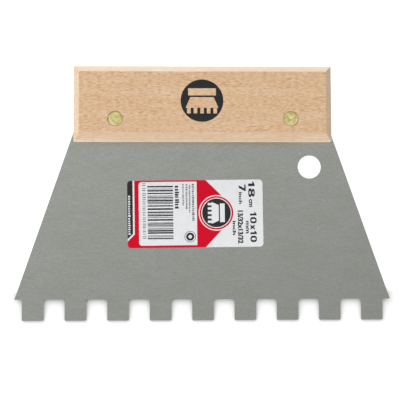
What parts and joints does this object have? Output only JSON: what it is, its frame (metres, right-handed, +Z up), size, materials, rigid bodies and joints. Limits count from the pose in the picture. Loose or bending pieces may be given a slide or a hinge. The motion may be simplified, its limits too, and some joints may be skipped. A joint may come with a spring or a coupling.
{
  "type": "notched trowel",
  "caption": "Adhesive spreader: a steel blade with square notches, riveted into a chamfered wooden handle, with a hanging hole and a size label.",
  "frame": {"origin": "middle of the bounding box's bottom face, on the table that the tool lies on, front face up", "axes": "+X across the blade, +Y along the table from the teeth to the handle, +Z up"},
  "size_m": [0.18, 0.1216, 0.0229],
  "materials": {
    "blade_steel": "matt rolled steel with a fine grain across the blade",
    "handle_beech": "sanded beech with a thin matt lacquer and a printed mark",
    "rivet_brass": "turned brass, slightly dulled",
    "label_vinyl": "white printed vinyl, satin"
  },
  "bodies": {
    "root": {"blade": "blade_steel", "handle": "handle_beech", "rivet_left_sleeve": "rivet_brass", "rivet_left_pin": "rivet_brass", "rivet_right_sleeve": "rivet_brass", "rivet_right_pin": "rivet_brass", "label_sticker": "label_vinyl"}
  },
  "joints": []
}
